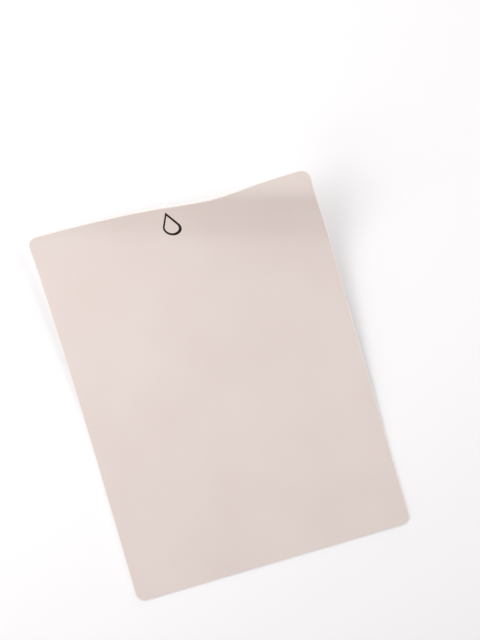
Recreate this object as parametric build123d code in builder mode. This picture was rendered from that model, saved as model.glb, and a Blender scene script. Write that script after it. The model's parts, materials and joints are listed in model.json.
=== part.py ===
from build123d import *
import os
from math import acos, cos, degrees, radians, sin

# A thin, soft silicone sheet in two bonded layers with a small printed mark.
# It lies on a table with its far right corner lifted. A rigid model can't bend, so the sheet
# is cut along parallel slanted lines into a panel that lies flat, six strips and a corner
# panel, and each cut is a hinge. Everything is drawn flat and placed by the plane of its strip.
#
# Frame: +X across the sheet, +Y along it towards the lifted end, +Z up.
# The origin is the middle of the sheet's outline, at the surface that it lies on.

# Driving dimensions, millimetres and degrees
sheet_width = 150.0
sheet_length = 200.0
corner_radius = 5.0
base_thickness = 1.1
face_thickness = 0.4
rim_width = 0.5
slit = 0.1

ink_thickness = 0.1
mark_height = 15.6
mark_width = 9.6
mark_stroke = 1.2
mark_margin = 3.0

# The lift runs from the near left corner to the far right one, turned from +Y by this angle.
lift_turn = 18.0

# Each cut: its distance from the origin along the lift, and the turn of the strip beyond it
# against the strip before it. Plus lifts the far side, minus levels it off again.
cuts = [
    (-28.0, 4.0),
    (7.0, 2.0),
    (37.0, 2.0),
    (59.0, 8.0),
    (77.0, 26.0),
    (95.0, 10.0),
    (107.0, -40.0),
]
strip_names = ["near_panel"] + [f"strip_{count}" for count in range(1, len(cuts))] + ["corner_panel"]
marked_strip = "strip_5"

sheet_thickness = base_thickness + face_thickness
# Between the drop's axis and the radius to the point where a flank meets the bowl
flank_angle = degrees(acos(mark_width / 2 / (mark_height - mark_width / 2)))
half_diagonal = (sheet_width**2 + sheet_length**2) ** 0.5 / 2
lift_direction = Vector(sin(radians(lift_turn)), cos(radians(lift_turn)), 0)
hinge_direction = Vector(cos(radians(lift_turn)), -sin(radians(lift_turn)), 0)


def plane_beyond(plane, distance, turn):
    """The plane of the strip beyond a cut, from the plane of the strip before it.

    The hinge line is on the inner side of the bend, so that the two walls of the cut open
    like a V on the outer side and never run into each other."""
    hinge_height = sheet_thickness if turn > 0 else 0.0
    on_hinge = plane.from_local_coords(lift_direction * distance + Vector(0, 0, hinge_height))
    hinge = Axis(on_hinge, hinge_direction)
    return Plane(
        origin=on_hinge + (plane.origin - on_hinge).rotate(hinge, turn),
        x_dir=plane.x_dir.rotate(hinge, turn),
        z_dir=plane.z_dir.rotate(hinge, turn),
    )


def layer_strip(label, plane, bottom, thickness, inset, start, end):
    """One layer's share of a strip: the rounded outline between two slanted cuts."""
    with BuildPart() as strip:
        with BuildSketch(plane.offset(bottom)):
            RectangleRounded(
                sheet_width - 2 * inset,
                sheet_length - 2 * inset,
                corner_radius - inset,
            )
            with Locations(lift_direction * ((start + end) / 2)):
                Rectangle(
                    4 * half_diagonal,
                    end - start,
                    rotation=-lift_turn,
                    mode=Mode.INTERSECT,
                )
        extrude(amount=thickness)
    strip.part.label = label
    export_step(strip.part, f"parts/{label}.step")


def printed_mark(plane):
    """The mark: the outline of a drop, printed on the face with its point towards the far edge."""
    bowl_radius = mark_width / 2
    mark_top = sheet_length / 2 - mark_margin
    bowl_y = mark_top - mark_height + bowl_radius
    with BuildPart() as mark:
        with BuildSketch(plane.offset(sheet_thickness)):
            for radius, mode in ((bowl_radius, Mode.ADD), (bowl_radius - mark_stroke, Mode.SUBTRACT)):
                with BuildLine():
                    bowl = CenterArc((0, bowl_y), radius, 90 + flank_angle, 360 - 2 * flank_angle)
                    Polyline(bowl @ 1, (0, bowl_y + radius / cos(radians(flank_angle))), bowl @ 0)
                make_face(mode=mode)
        extrude(amount=ink_thickness)
    mark.part.label = "printed_mark"
    export_step(mark.part, "parts/printed_mark.step")


def sheet():
    """All the strips, from the panel that lies flat to the lifted corner."""
    strip_plane = Plane.XY
    start = -2 * half_diagonal
    for name, (distance, turn) in zip(strip_names, cuts + [(2 * half_diagonal, 0.0)]):
        end = distance - slit / 2
        layer_strip(f"{name}_base", strip_plane, 0, base_thickness, 0, start, end)
        layer_strip(f"{name}_face", strip_plane, base_thickness, face_thickness, rim_width, start, end)
        if name == marked_strip:
            printed_mark(strip_plane)
        strip_plane = plane_beyond(strip_plane, distance, turn)
        start = distance + slit / 2


os.makedirs("parts", exist_ok=True)
sheet()
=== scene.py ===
import json
from math import acos, cos, hypot, pi, radians, sin

import bmesh
import bpy
import numpy as np
from mathutils import Matrix, Vector

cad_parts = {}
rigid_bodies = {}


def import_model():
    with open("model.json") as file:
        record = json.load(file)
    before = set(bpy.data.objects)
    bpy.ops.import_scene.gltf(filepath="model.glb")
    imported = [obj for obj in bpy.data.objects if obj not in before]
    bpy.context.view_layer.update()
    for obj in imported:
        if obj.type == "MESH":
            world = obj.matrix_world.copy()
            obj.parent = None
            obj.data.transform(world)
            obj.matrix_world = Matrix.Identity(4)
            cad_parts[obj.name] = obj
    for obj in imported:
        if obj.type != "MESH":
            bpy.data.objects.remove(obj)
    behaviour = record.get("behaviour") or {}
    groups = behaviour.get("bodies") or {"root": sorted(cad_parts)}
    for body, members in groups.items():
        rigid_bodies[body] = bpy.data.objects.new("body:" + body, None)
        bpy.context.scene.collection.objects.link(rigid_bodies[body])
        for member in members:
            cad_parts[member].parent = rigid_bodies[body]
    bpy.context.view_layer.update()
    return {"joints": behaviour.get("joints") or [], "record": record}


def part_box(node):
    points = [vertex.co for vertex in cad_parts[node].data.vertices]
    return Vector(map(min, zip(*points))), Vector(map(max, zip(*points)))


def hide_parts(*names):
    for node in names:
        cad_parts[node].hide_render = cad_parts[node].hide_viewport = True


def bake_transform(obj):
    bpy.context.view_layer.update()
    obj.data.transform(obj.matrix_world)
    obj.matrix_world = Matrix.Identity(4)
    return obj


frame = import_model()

# A thin silicone sheet in two bonded layers, with a small printed mark, one corner lifted.
# Each layer is built flat, cut along the folds' lines and then bent, all in metres in the
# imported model's frame. "Along the lift" is the horizontal direction in which the sheet rises,
# and a fold's line runs across it. A stretch is the part of the sheet that bends over one fold.

# ---------------------------------------------------------------- sizes that the frame gives

BASE_LOW, BASE_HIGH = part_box("near_panel_base")
FACE_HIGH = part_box("near_panel_face")[1]
HALF_WIDTH = BASE_HIGH.x
HALF_LENGTH = -BASE_LOW.y
BASE_THICKNESS = BASE_HIGH.z - BASE_LOW.z
SHEET_THICKNESS = FACE_HIGH.z - BASE_LOW.z
RIM_WIDTH = BASE_HIGH.x - FACE_HIGH.x

# ---------------------------------------------------------------- sizes that are set here

CORNER_RADIUS = 0.005
CORNER_POINTS = 10
EDGE_SHARE = 0.16            # the radius of a layer's edge, as a share of the layer's thickness
EDGE_SUPPORT = 0.0001        # a narrow flat ring that keeps the edge's shading to the edge
EDGE_POINTS = 4

MARK_WIDTH = 0.0096
MARK_HEIGHT = 0.0156
MARK_STROKE = 0.0012
MARK_MARGIN = 0.0030         # from the mark's tip to the far edge
MARK_INSIDE_SHIFT = (-0.0002, 0.0003)   # makes the stroke thicker at the lower right
MARK_BOWL_POINTS = 48
MARK_FLANK_POINTS = 8
INK_RELIEF = 0.00005
INK_SUNK = 0.00002           # how far the mark reaches into the face, so that no gap shows
STROKE_DOME = [(0.0, 0.4), (0.12, 0.9), (0.5, 1.0)]   # (share of the stroke, share of the relief)

FLAT_STEP = 0.006            # spacing of the cuts where the sheet is flat
GENTLE_STEP = 0.002
STEEP_STEP = 0.001
CROSS_STEP = 0.005           # spacing of the cuts that run along the lift
CUT_TOLERANCE = 1e-8
FIRST_STEEP = 4              # from this stretch on, counted from 0, the sheet bends most
MARK_STRETCHES = {"printed_mark_near": 4, "printed_mark_far": 5}   # where the mark's pieces lie

WAVE_HEIGHT = 0.0025         # the shallow wave in the far edge, between the mark and the lifted corner
WAVE_X = 0.023
WAVE_WIDTH = 0.032
WAVE_FADE = 0.060            # how far it reaches in from the far edge

TRACE_STEP = 0.0001          # the step in which the bend is added up
TRACE_MARGIN = 0.01          # how far it is traced beyond the sheet

# ---------------------------------------------------------------- looks

FLAT_PLACE = "flat_place"    # the mesh attribute that keeps where a point is on the flat sheet
CLOUD_SCALE = 22.0           # the scales of the patterns are in patches for each metre
WEAR_SCALE = 60.0
GRAIN_SCALE = 2600.0
GRAIN_DEPTH = 0.00003
GRAIN_STRENGTH = 0.35
INK_PATCH_SCALE = 900.0
SILICONE_IOR = 1.41

CAMERA_HEIGHT = 0.550
VIEW_LENGTH = 0.3377         # what the long side of the picture covers at the table
SHEET_TURN = 16.4            # degrees that the sheet is turned in the picture, anticlockwise
AIM_X, AIM_Y = 0.0186, 0.0278

FLOOR_HALF = 3.0
FLOOR_COLOUR = (0.955, 0.955, 0.955, 1)
FLOOR_ROUGHNESS = 0.8
FILL_COLOUR = (1.0, 0.945, 0.97, 1)
FILL_STRENGTH = 0.34
# name, side in metres, power in watts, bearing and elevation in degrees, distance in metres
SOFTBOXES = [
    ("left_softbox", 0.8, 2.9, 205.0, 30.0, 0.85),
    ("right_softbox", 0.6, 3.0, 18.0, 40.0, 0.9),
    ("front_left_softbox", 0.9, 1.0, 240.0, 35.0, 1.3),
    ("back_softbox", 0.5, 1.2, 90.0, 20.0, 0.8),
    ("top_left_softbox", 0.3, 0.72, 150.0, 60.0, 0.45),
]


def smooth(share):
    """A share from 0 to 1 made to start and end gently."""
    return share * share * (3 - 2 * share)


# ---------------------------------------------------------------- the bend

class Bend:
    """The sheet's shape at rest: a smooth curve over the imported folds, the same all along a fold line.

    Each fold's turn is spread over its stretch of the sheet, from the middle between it and the
    fold before to the middle between it and the fold after."""

    def __init__(self, joints, couplings):
        axis = Vector(joints[0]["axis"])
        self.across = axis
        self.lift = Vector((0, 0, 1)).cross(axis)
        # a fold that follows another one backwards levels the sheet off
        levelling = {coupling["joint"] for coupling in couplings if coupling["ratio"] < 0}
        self.folds = []
        self.turns = []
        last = None
        for joint in joints:
            pivot = Vector(joint["pos_m"])
            # one end of a joint's range takes its fold back to flat
            turn = -joint["range_deg"][1 if joint["name"] in levelling else 0]
            place = (pivot.dot(self.lift), pivot.z)
            if last is None:
                distance = place[0]
            else:
                # a fold that lifts has its pivot on top of the sheet, one that levels off under it
                step = hypot(place[0] - last[0], place[1] - last[1])
                sideways = SHEET_THICKNESS if turn < 0 else 0.0
                distance = self.folds[-1] + (step**2 - sideways**2) ** 0.5
            self.folds.append(distance)
            self.turns.append(radians(turn))
            last = place
        self.far = HALF_WIDTH * self.lift.x + HALF_LENGTH * self.lift.y
        middles = [(a + b) / 2 for a, b in zip(self.folds, self.folds[1:])]
        first = 2 * self.folds[0] - middles[0]
        final = 2 * self.folds[-1] - middles[-1]
        self.middles = [first, *middles, final]
        self._trace()

    def angle(self, distance):
        """The slope at distances along the flat sheet."""
        total = np.zeros_like(distance)
        for turn, start, end in zip(self.turns, self.middles, self.middles[1:]):
            total += turn * smooth(np.clip((distance - start) / (end - start), 0, 1))
        return total

    def _trace(self):
        """Adds up the slope into the curve of the underside."""
        reach = self.far + TRACE_MARGIN
        self.stations = np.arange(-reach, reach, TRACE_STEP)
        self.slope = self.angle(self.stations)
        ahead, up = np.cos(self.slope), np.sin(self.slope)
        run = np.concatenate([[0], np.cumsum((ahead[1:] + ahead[:-1]) / 2 * TRACE_STEP)])
        self.rise = np.concatenate([[0], np.cumsum((up[1:] + up[:-1]) / 2 * TRACE_STEP)])
        self.run = run + self.stations[0]

    def place(self, flat):
        """Flat points (x, y, height above the underside) where they are on the bent sheet."""
        lift, across = np.array(self.lift[:2]), np.array(self.across[:2])
        along = flat[:, :2] @ lift
        side = flat[:, :2] @ across
        height = flat[:, 2] + held_wave(flat)
        slope = np.interp(along, self.stations, self.slope)
        run = np.interp(along, self.stations, self.run) - height * np.sin(slope)
        rise = np.interp(along, self.stations, self.rise) + height * np.cos(slope)
        bent = np.outer(run, lift) + np.outer(side, across)
        return np.column_stack([bent, rise])

    def middle_point(self, number):
        """The underside's point between two folds, on the line through the origin along the lift."""
        distance = self.middles[number]
        run = np.interp(distance, self.stations, self.run)
        rise = np.interp(distance, self.stations, self.rise)
        return self.lift * run + Vector((0, 0, rise))


def held_wave(flat):
    """How far the held corner makes the far edge stand off the plain bend, at flat points."""
    inwards = np.clip((HALF_LENGTH - flat[:, 1]) / WAVE_FADE, 0, 1)
    return WAVE_HEIGHT * (1 - smooth(inwards)) * np.exp(-(((flat[:, 0] - WAVE_X) / WAVE_WIDTH) ** 2))


# ---------------------------------------------------------------- flat meshes

def rounded_outline(inset):
    """Points round the sheet's outline, moved in by inset. Every inset gives the same number."""
    radius = CORNER_RADIUS - inset
    points = []
    for quarter, (side_x, side_y) in enumerate([(1, 1), (-1, 1), (-1, -1), (1, -1)]):
        centre_x = side_x * (HALF_WIDTH - CORNER_RADIUS)
        centre_y = side_y * (HALF_LENGTH - CORNER_RADIUS)
        for step in range(CORNER_POINTS + 1):
            angle = (quarter + step / CORNER_POINTS) * pi / 2
            points.append((centre_x + radius * cos(angle), centre_y + radius * sin(angle)))
    return points


def edge_profile(bottom, top):
    """(inset, height) pairs up a layer's edge, from a ring on its underside to one on its face."""
    radius = EDGE_SHARE * (top - bottom)
    angles = [step / EDGE_POINTS * pi / 2 for step in range(EDGE_POINTS + 1)]
    lower = [(radius * (1 - sin(angle)), bottom + radius * (1 - cos(angle))) for angle in angles]
    upper = [(radius * (1 - cos(angle)), top - radius * (1 - sin(angle))) for angle in angles]
    return [(radius + EDGE_SUPPORT, bottom), *lower, *upper, (radius + EDGE_SUPPORT, top)]


def loops_to_mesh(loops, closed):
    """A bmesh of quads between loops of points. Closed joins the last loop to the first, and
    otherwise the first and the last loop are each filled with one face."""
    mesh = bmesh.new()
    rings = [[mesh.verts.new(point) for point in loop] for loop in loops]
    pairs = list(zip(rings, rings[1:]))
    if closed:
        pairs.append((rings[-1], rings[0]))
    for low, high in pairs:
        for corner in range(len(low)):
            beyond = (corner + 1) % len(low)
            mesh.faces.new((low[corner], low[beyond], high[beyond], high[corner]))
    if not closed:
        mesh.faces.new(list(reversed(rings[0])))
        mesh.faces.new(rings[-1])
    bmesh.ops.recalc_face_normals(mesh, faces=mesh.faces)
    return mesh


def flat_layer(inset, bottom, top):
    """One layer of the sheet, flat, with its rounded edge."""
    loops = []
    for inwards, height in edge_profile(bottom, top):
        loops.append([(x, y, height) for x, y in rounded_outline(inset + inwards)])
    return loops_to_mesh(loops, closed=False)


def points_between(start, end):
    """The points that divide one straight flank of the drop, without its ends."""
    points = []
    for step in range(1, MARK_FLANK_POINTS):
        share = step / MARK_FLANK_POINTS
        points.append(tuple(a * (1 - share) + b * share for a, b in zip(start, end)))
    return points


def drop_outline(centre, radius):
    """Points round a drop whose tip points along +Y: a round bowl and two straight flanks."""
    flank = acos(MARK_WIDTH / 2 / (MARK_HEIGHT - MARK_WIDTH / 2))
    tip = (centre[0], centre[1] + radius / cos(flank))
    bowl = []
    for step in range(MARK_BOWL_POINTS + 1):
        angle = pi / 2 + flank + (2 * pi - 2 * flank) * step / MARK_BOWL_POINTS
        bowl.append((centre[0] + radius * cos(angle), centre[1] + radius * sin(angle)))
    return [*bowl, *points_between(bowl[-1], tip), tip, *points_between(tip, bowl[0])]


def flat_mark():
    """The printed drop, flat: a ring with a domed stroke, a little thicker at the lower right."""
    radius = MARK_WIDTH / 2
    centre = (0.0, HALF_LENGTH - MARK_MARGIN - MARK_HEIGHT + radius)
    inner_centre = (centre[0] + MARK_INSIDE_SHIFT[0], centre[1] + MARK_INSIDE_SHIFT[1])
    outer = drop_outline(centre, radius)
    inner = drop_outline(inner_centre, radius - MARK_STROKE)
    levels = [(0.0, -INK_SUNK)]
    levels += [(share, relief * INK_RELIEF) for share, relief in STROKE_DOME]
    levels += [(1 - share, height) for share, height in reversed(levels[:-1])]
    loops = []
    for share, height in levels:
        ring = []
        for (out_x, out_y), (in_x, in_y) in zip(outer, inner):
            x = out_x + (in_x - out_x) * share
            y = out_y + (in_y - out_y) * share
            ring.append((x, y, SHEET_THICKNESS + height))
        loops.append(ring)
    return loops_to_mesh(loops, closed=True)


# ---------------------------------------------------------------- cutting, bending, riding

def cut_across(mesh, point, normal):
    """Adds the edges where a plane crosses the mesh. Nothing is removed."""
    everything = mesh.verts[:] + mesh.edges[:] + mesh.faces[:]
    bmesh.ops.bisect_plane(mesh, geom=everything, dist=CUT_TOLERANCE, plane_co=point, plane_no=normal)


def fold_lines(bend):
    """Distances along the lift at which the sheet is cut, closer together where it bends more."""
    zones = [(-bend.far, bend.middles[0], FLAT_STEP)]
    for number, (start, end) in enumerate(zip(bend.middles, bend.middles[1:])):
        zones.append((start, end, STEEP_STEP if number >= FIRST_STEEP else GENTLE_STEP))
    zones.append((bend.middles[-1], bend.far, STEEP_STEP))
    lines = []
    for start, end, step in zones:
        count = max(1, round((end - start) / step))
        lines += [start + (end - start) * number / count for number in range(count)]
    return lines[1:]


def cut_grid(mesh, bend):
    """Cuts a flat mesh along the folds and across them, so that it bends smoothly."""
    for distance in fold_lines(bend):
        cut_across(mesh, bend.lift * distance, bend.lift)
    reach = HALF_WIDTH * bend.across.x + HALF_LENGTH * abs(bend.across.y)
    count = int(reach / CROSS_STEP)
    for number in range(-count, count + 1):
        cut_across(mesh, bend.across * (number * CROSS_STEP), bend.across)


def stretch_of(mesh, bend, low, high):
    """A copy of the part of a flat mesh between two distances along the lift, its cut ends closed."""
    part = mesh.copy()
    outside = [f for f in part.faces if not low < f.calc_center_median().dot(bend.lift) < high]
    bmesh.ops.delete(part, geom=outside, context="FACES")
    for face in part.faces:
        face.smooth = True
    open_edges = [edge for edge in part.edges if edge.is_boundary]
    for edge in open_edges:
        edge.smooth = False
    if open_edges:
        bmesh.ops.holes_fill(part, edges=open_edges, sides=0)
    bmesh.ops.recalc_face_normals(part, faces=part.faces)
    return part


def cut_size(mesh, bend):
    """A flat stretch's size across the lift and along it, and its area seen from above."""
    across = [vertex.co.dot(bend.across) for vertex in mesh.verts]
    along = [vertex.co.dot(bend.lift) for vertex in mesh.verts]
    area = sum(face.calc_area() * face.normal.z for face in mesh.faces if face.normal.z > 0)
    return (max(across) - min(across), max(along) - min(along)), area


def bent_piece(name, mesh, bend, material):
    """A Blender object from a flat bmesh, bent to the rest shape. It remembers the flat places."""
    flat = np.array([vertex.co for vertex in mesh.verts], float)
    data = bpy.data.meshes.new(name)
    mesh.to_mesh(data)
    mesh.free()
    stored = data.attributes.new(FLAT_PLACE, "FLOAT_VECTOR", "POINT")
    stored.data.foreach_set("vector", flat.astype(np.float32).ravel())
    data.vertices.foreach_set("co", bend.place(flat).astype(np.float32).ravel())
    data.materials.append(material)
    data.update()
    piece = bpy.data.objects.new(name, data)
    bpy.context.scene.collection.objects.link(piece)
    return piece


def chain_of_bodies():
    """The bodies' names from the panel that lies flat to the lifted corner."""
    joints = frame["joints"]
    return [joints[0]["parent"]] + [joint["child"] for joint in joints]


def ride_fold(piece, bend, number):
    """Bakes the piece's placement into its mesh. The underside's points at the middles before and after
    the fold are worked out, and nothing uses them.
    """
    bend.middle_point(number)
    bend.middle_point(number + 1)
    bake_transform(piece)


def add_layer(layer, inset, bottom, top, bend, material):
    """One layer of the sheet as stretches that meet between the folds, each bending over one fold."""
    flat = flat_layer(inset, bottom, top)
    cut_grid(flat, bend)
    bodies = chain_of_bodies()
    last = len(bend.folds) - 1
    for number in range(len(bend.folds)):
        # the first and the last stretch take in the rest of the sheet
        low = -2 * bend.far if number == 0 else bend.middles[number]
        high = 2 * bend.far if number == last else bend.middles[number + 1]
        stretch = stretch_of(flat, bend, low, high)
        size, area = cut_size(stretch, bend)
        piece = bent_piece(f"{layer}_{number + 1}", stretch, bend, material)
        ride_fold(piece, bend, number)
        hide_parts(f"{bodies[number]}_{layer}")
        if number == last:
            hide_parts(f"{bodies[number + 1]}_{layer}")
    flat.free()


def add_mark(bend, material):
    """The printed mark, in two stretches that meet where the face's do."""
    flat = flat_mark()
    cut_grid(flat, bend)
    for name, number in MARK_STRETCHES.items():
        stretch = stretch_of(flat, bend, bend.middles[number], bend.middles[number + 1])
        piece = bent_piece(name, stretch, bend, material)
        ride_fold(piece, bend, number)
        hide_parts("printed_mark")
    flat.free()


# ---------------------------------------------------------------- materials

def node_material(name):
    """A new node material, with its nodes, its links and its shader."""
    material = bpy.data.materials.new(name)
    material.use_nodes = True
    nodes = material.node_tree.nodes
    return material, nodes, material.node_tree.links, nodes["Principled BSDF"]


def flat_place(nodes):
    """Where a point is on the flat sheet, so that the pattern doesn't stretch with the bend."""
    attribute = nodes.new("ShaderNodeAttribute")
    attribute.attribute_name = FLAT_PLACE
    return attribute.outputs["Vector"]


def noise(nodes, links, place, scale, detail):
    """Soft noise over the flat places."""
    texture = nodes.new("ShaderNodeTexNoise")
    texture.inputs["Scale"].default_value = scale
    texture.inputs["Detail"].default_value = detail
    links.new(place, texture.inputs["Vector"])
    return texture.outputs["Fac"]


def spread(nodes, links, value, low, high):
    """Noise, most of which is between 0.3 and 0.7, spread from low to high."""
    node = nodes.new("ShaderNodeMapRange")
    node.inputs["From Min"].default_value = 0.3
    node.inputs["From Max"].default_value = 0.7
    node.inputs["To Min"].default_value = low
    node.inputs["To Max"].default_value = high
    links.new(value, node.inputs["Value"])
    return node.outputs["Result"]


def mixed_colour(nodes, links, value, dark, light):
    """A colour that goes from dark to light with the noise."""
    colour = nodes.new("ShaderNodeMix")
    colour.data_type = "RGBA"
    colour.inputs["A"].default_value = (*dark, 1)
    colour.inputs["B"].default_value = (*light, 1)
    links.new(spread(nodes, links, value, 0.0, 1.0), colour.inputs["Factor"])
    return colour.outputs["Result"]


def silicone(name, dark, light, rough_low, rough_high):
    """Cast silicone: faint clouds in the pigment, a satin skin, and the mould's fine grain."""
    material, nodes, links, shader = node_material(name)
    place = flat_place(nodes)
    clouds = noise(nodes, links, place, CLOUD_SCALE, 3.0)
    links.new(mixed_colour(nodes, links, clouds, dark, light), shader.inputs["Base Color"])
    wear = noise(nodes, links, place, WEAR_SCALE, 4.0)
    links.new(spread(nodes, links, wear, rough_low, rough_high), shader.inputs["Roughness"])
    bump = nodes.new("ShaderNodeBump")
    bump.inputs["Strength"].default_value = GRAIN_STRENGTH
    bump.inputs["Distance"].default_value = GRAIN_DEPTH
    links.new(noise(nodes, links, place, GRAIN_SCALE, 2.0), bump.inputs["Height"])
    links.new(bump.outputs["Normal"], shader.inputs["Normal"])
    shader.inputs["IOR"].default_value = SILICONE_IOR
    shader.inputs["Sheen Weight"].default_value = 0.06
    shader.inputs["Sheen Roughness"].default_value = 0.4
    return material


def ink(dark, light, rough_low, rough_high):
    """Matt dark ink, a little uneven in colour and gloss."""
    material, nodes, links, shader = node_material("dark_ink")
    patches = noise(nodes, links, flat_place(nodes), INK_PATCH_SCALE, 3.0)
    links.new(mixed_colour(nodes, links, patches, dark, light), shader.inputs["Base Color"])
    links.new(spread(nodes, links, patches, rough_low, rough_high), shader.inputs["Roughness"])
    shader.inputs["Specular IOR Level"].default_value = 0.25
    return material


# ---------------------------------------------------------------- camera, floor and light

def add_camera():
    """Looks straight down, with the sheet turned in the picture."""
    data = bpy.data.cameras.new("camera")
    # the sensor's width lies along the picture's long side
    data.lens = data.sensor_width * CAMERA_HEIGHT / VIEW_LENGTH
    camera = bpy.data.objects.new("camera", data)
    place = Matrix.Translation((AIM_X, AIM_Y, CAMERA_HEIGHT))
    camera.matrix_world = place @ Matrix.Rotation(radians(-SHEET_TURN), 4, "Z")
    bpy.context.scene.collection.objects.link(camera)
    bpy.context.scene.camera = camera


def add_floor():
    """The white table that the sheet lies on."""
    half = FLOOR_HALF
    corners = [(-half, -half, 0), (half, -half, 0), (half, half, 0), (-half, half, 0)]
    data = bpy.data.meshes.new("floor")
    data.from_pydata(corners, [], [(0, 1, 2, 3)])
    material, _, _, shader = node_material("white_table")
    shader.inputs["Base Color"].default_value = FLOOR_COLOUR
    shader.inputs["Roughness"].default_value = FLOOR_ROUGHNESS
    data.materials.append(material)
    floor = bpy.data.objects.new("floor", data)
    bpy.context.scene.collection.objects.link(floor)


def add_softbox(name, size, power, bearing, elevation, distance):
    """A square area light that looks at the origin. Bearing 0 is the picture's right, 90 its top."""
    data = bpy.data.lights.new(name, "AREA")
    data.shape = "SQUARE"
    data.size = size
    data.energy = power
    lamp = bpy.data.objects.new(name, data)
    turn = radians(bearing - SHEET_TURN)
    out = distance * cos(radians(elevation))
    lamp.location = (out * cos(turn), out * sin(turn), distance * sin(radians(elevation)))
    lamp.rotation_euler = (-lamp.location).to_track_quat("-Z", "Y").to_euler()
    bpy.context.scene.collection.objects.link(lamp)


def add_fill():
    """The studio's even, faintly pink light from all round."""
    world = bpy.data.worlds.new("studio")
    world.use_nodes = True
    background = world.node_tree.nodes["Background"]
    background.inputs["Color"].default_value = FILL_COLOUR
    background.inputs["Strength"].default_value = FILL_STRENGTH
    bpy.context.scene.world = world


# ---------------------------------------------------------------- the scene

add_camera()
the_bend = Bend(frame["joints"], frame["record"]["behaviour"]["couplings"])
# the backing is pale silicone; its rim round the face shows as a light line that is partly a painted
# highlight of the sheet's lit edge
backing_and_rim_highlight = silicone("pale_silicone_rim_highlight", (0.91, 0.87, 0.84), (0.93, 0.89, 0.86), 0.52, 0.66)
skin = silicone("beige_silicone", (0.718, 0.624, 0.583), (0.746, 0.657, 0.613), 0.58, 0.72)
dark_ink = ink((0.012, 0.006, 0.003), (0.024, 0.014, 0.010), 0.6, 0.75)
add_layer("base", 0.0, 0.0, BASE_THICKNESS, the_bend, backing_and_rim_highlight)
add_layer("face", RIM_WIDTH, BASE_THICKNESS, SHEET_THICKNESS, the_bend, skin)
add_mark(the_bend, dark_ink)

add_floor()
add_fill()
for softbox in SOFTBOXES:
    add_softbox(*softbox)
bpy.context.scene.view_settings.view_transform = "Standard"
